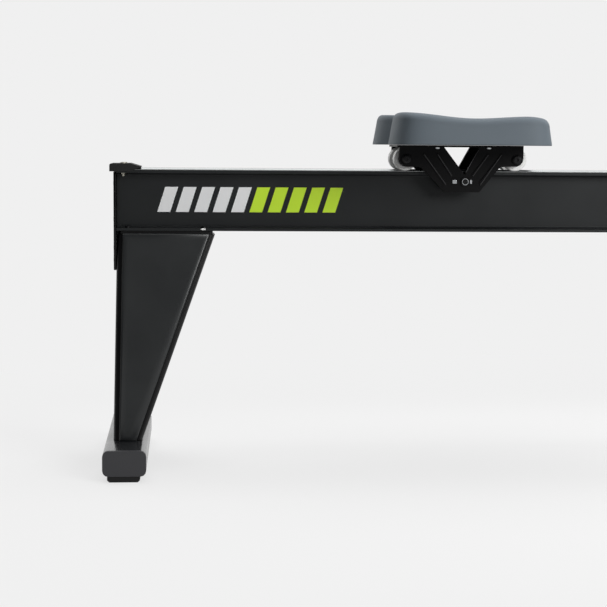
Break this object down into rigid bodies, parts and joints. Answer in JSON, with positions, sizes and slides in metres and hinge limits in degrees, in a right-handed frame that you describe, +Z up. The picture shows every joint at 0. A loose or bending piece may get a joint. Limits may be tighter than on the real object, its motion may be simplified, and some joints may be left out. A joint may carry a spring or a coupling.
{
  "type": "air rowing machine",
  "caption": "Air rowing machine: raised monorail with a rolling seat, tapered legs, footboards, chain handle, flywheel in a slotted housing, damper and monitor.",
  "frame": {"origin": "on the floor, under the middle of the machine's length and width", "axes": "+X from the rear of the rail to the flywheel, +Y to the rower's left, +Z up"},
  "size_m": [2.44, 0.61, 1.1678],
  "materials": {
    "dark_aluminium": "dark anodised, satin",
    "track_steel": "brushed stainless strip",
    "black_paint": "satin black powder coat",
    "bright_steel": "machined, zinc plated",
    "black_plastic": "fine moulded grain",
    "grey_plastic": "fine moulded grain",
    "fin_paint": "satin dark grey powder coat",
    "seat_foam": "blue-grey moulded seat skin",
    "roller_nylon": "off-white nylon",
    "rubber": "matt",
    "webbing": "woven nylon strap",
    "fan_aluminium": "cast and machined",
    "screen": "clear pane over a grey-green display",
    "button_rubber": "grey silicone keys"
  },
  "bodies": {
    "frame": {"front_beam": "dark_aluminium", "rail_saddle": "black_paint", "front_leg": "black_paint", "front_foot_bar": "black_paint", "front_foot_cap_left": "grey_plastic", "front_foot_cap_right": "grey_plastic", "frame_plate_left": "fin_paint", "frame_plate_right": "fin_paint", "chain_cover": "fin_paint", "axle_bearing": "bright_steel", "housing_inner": "black_paint", "housing_screen": "black_paint", "housing_outer": "black_plastic", "footboard_bracket": "black_paint", "footboard_left": "black_plastic", "footboard_right": "black_plastic", "foot_strap_left": "webbing", "foot_strap_right": "webbing"},
    "rail": {"monorail": "dark_aluminium", "steel_track": "track_steel", "rear_stop": "black_plastic", "front_stop": "black_plastic", "rear_end_plate": "black_paint", "rear_leg": "black_paint", "rear_foot_bar": "black_paint", "rear_foot_cap_left": "grey_plastic", "rear_foot_cap_right": "grey_plastic", "rear_foot_pad_left": "rubber", "rear_foot_pad_right": "rubber", "rail_tongue": "black_paint"},
    "seat": {"seat_pad": "seat_foam", "seat_carriage": "black_plastic", "seat_axle_rear": "bright_steel", "seat_axle_front": "bright_steel"},
    "rear_rollers": {"seat_roller_rear_left": "roller_nylon", "seat_roller_rear_right": "roller_nylon"},
    "front_rollers": {"seat_roller_front_left": "roller_nylon", "seat_roller_front_right": "roller_nylon"},
    "guide_rollers": {"guide_roller_left": "roller_nylon", "guide_roller_right": "roller_nylon"},
    "lock": {"lock_lever": "grey_plastic"},
    "handle": {"handle_bar": "black_plastic", "handle_grip_left": "rubber", "handle_grip_right": "rubber", "chain_run": "bright_steel"},
    "chain_sprocket": {"sprocket": "bright_steel"},
    "chain_roller": {"nose_roller": "black_plastic"},
    "fan": {"flywheel": "fan_aluminium", "flywheel_axle": "bright_steel"},
    "damper": {"damper_ring": "grey_plastic"},
    "left_heel": {"heel_cup_left": "grey_plastic"},
    "right_heel": {"heel_cup_right": "grey_plastic"},
    "left_caster": {"caster_wheel_left": "grey_plastic"},
    "right_caster": {"caster_wheel_right": "grey_plastic"},
    "arm": {"monitor_arm": "black_plastic"},
    "monitor": {"monitor_case": "black_plastic", "monitor_screen": "screen"},
    "button_1": {"monitor_button_1": "button_rubber"},
    "button_2": {"monitor_button_2": "button_rubber"},
    "button_3": {"monitor_button_3": "button_rubber"}
  },
  "joints": [
    {"name": "rail_separation", "type": "slide", "parent": "frame", "child": "rail", "axis": [1, 0, 0], "range_m": [-0.3, 0]},
    {"name": "seat_slide", "type": "slide", "parent": "rail", "child": "seat", "axis": [1, 0, 0], "range_m": [-0.367, 0.744]},
    {"name": "rear_rollers_spin", "type": "hinge", "parent": "seat", "child": "rear_rollers", "pos_m": [-0.79145, 0, 0.4424], "axis": [0, 1, 0], "continuous": true},
    {"name": "front_rollers_spin", "type": "hinge", "parent": "seat", "child": "front_rollers", "pos_m": [-0.63155, 0, 0.4424], "axis": [0, 1, 0], "continuous": true},
    {"name": "guide_rollers_spin", "type": "hinge", "parent": "seat", "child": "guide_rollers", "pos_m": [-0.70605, 0, 0.4105], "axis": [0, 1, 0], "continuous": true},
    {"name": "lock_lever_turn", "type": "hinge", "parent": "frame", "child": "lock", "pos_m": [0.21625, 0, 0.3129], "axis": [0, 1, 0], "range_deg": [-80, 0]},
    {"name": "handle_pull", "type": "slide", "parent": "frame", "child": "handle", "axis": [1, 0, 0], "range_m": [-1.2, 0], "stiffness_N_per_m": 8, "springref_m": 0.6, "deforming": ["chain_run"]},
    {"name": "sprocket_spin", "type": "hinge", "parent": "frame", "child": "chain_sprocket", "pos_m": [0.88125, 0, 0.6], "axis": [0, 1, 0], "continuous": true},
    {"name": "nose_roller_spin", "type": "hinge", "parent": "frame", "child": "chain_roller", "pos_m": [0.43125, 0, 0.64], "axis": [0, 1, 0], "continuous": true},
    {"name": "flywheel_spin", "type": "hinge", "parent": "frame", "child": "fan", "pos_m": [0.88125, 0, 0.6], "axis": [0, 1, 0], "continuous": true},
    {"name": "damper_turn", "type": "hinge", "parent": "frame", "child": "damper", "pos_m": [0.88125, 0, 0.6], "axis": [0, 1, 0], "range_deg": [0, 36]},
    {"name": "left_heel_slide", "type": "slide", "parent": "frame", "child": "left_heel", "axis": [0.7431, 0, 0.6691], "range_m": [-0.03, 0.03]},
    {"name": "right_heel_slide", "type": "slide", "parent": "frame", "child": "right_heel", "axis": [0.7431, 0, 0.6691], "range_m": [-0.03, 0.03]},
    {"name": "left_caster_spin", "type": "hinge", "parent": "frame", "child": "left_caster", "pos_m": [1.192, 0.25, 0.036], "axis": [0, 1, 0], "continuous": true},
    {"name": "right_caster_spin", "type": "hinge", "parent": "frame", "child": "right_caster", "pos_m": [1.192, -0.25, 0.036], "axis": [0, 1, 0], "continuous": true},
    {"name": "monitor_arm_swing", "type": "hinge", "parent": "frame", "child": "arm", "pos_m": [0.65125, 0, 0.718], "axis": [0, 1, 0], "range_deg": [-20, 35]},
    {"name": "monitor_tilt", "type": "hinge", "parent": "arm", "child": "monitor", "pos_m": [0.39125, 0, 1.08], "axis": [0, 1, 0], "range_deg": [-25, 20]},
    {"name": "button_1_press", "type": "slide", "parent": "monitor", "child": "button_1", "axis": [0.9848, 0, -0.1736], "range_m": [0, 0.001], "stiffness_N_per_m": 400},
    {"name": "button_2_press", "type": "slide", "parent": "monitor", "child": "button_2", "axis": [0.9848, 0, -0.1736], "range_m": [0, 0.001], "stiffness_N_per_m": 400},
    {"name": "button_3_press", "type": "slide", "parent": "monitor", "child": "button_3", "axis": [0.9848, 0, -0.1736], "range_m": [0, 0.001], "stiffness_N_per_m": 400}
  ],
  "couplings": [
    {"joint": "rear_rollers_spin", "follows": "seat_slide", "rad_per_m": 59.524},
    {"joint": "front_rollers_spin", "follows": "seat_slide", "rad_per_m": 59.524},
    {"joint": "guide_rollers_spin", "follows": "seat_slide", "rad_per_m": -108.7},
    {"joint": "sprocket_spin", "follows": "handle_pull", "rad_per_m": 35.042},
    {"joint": "nose_roller_spin", "follows": "handle_pull", "rad_per_m": 64.516}
  ]
}
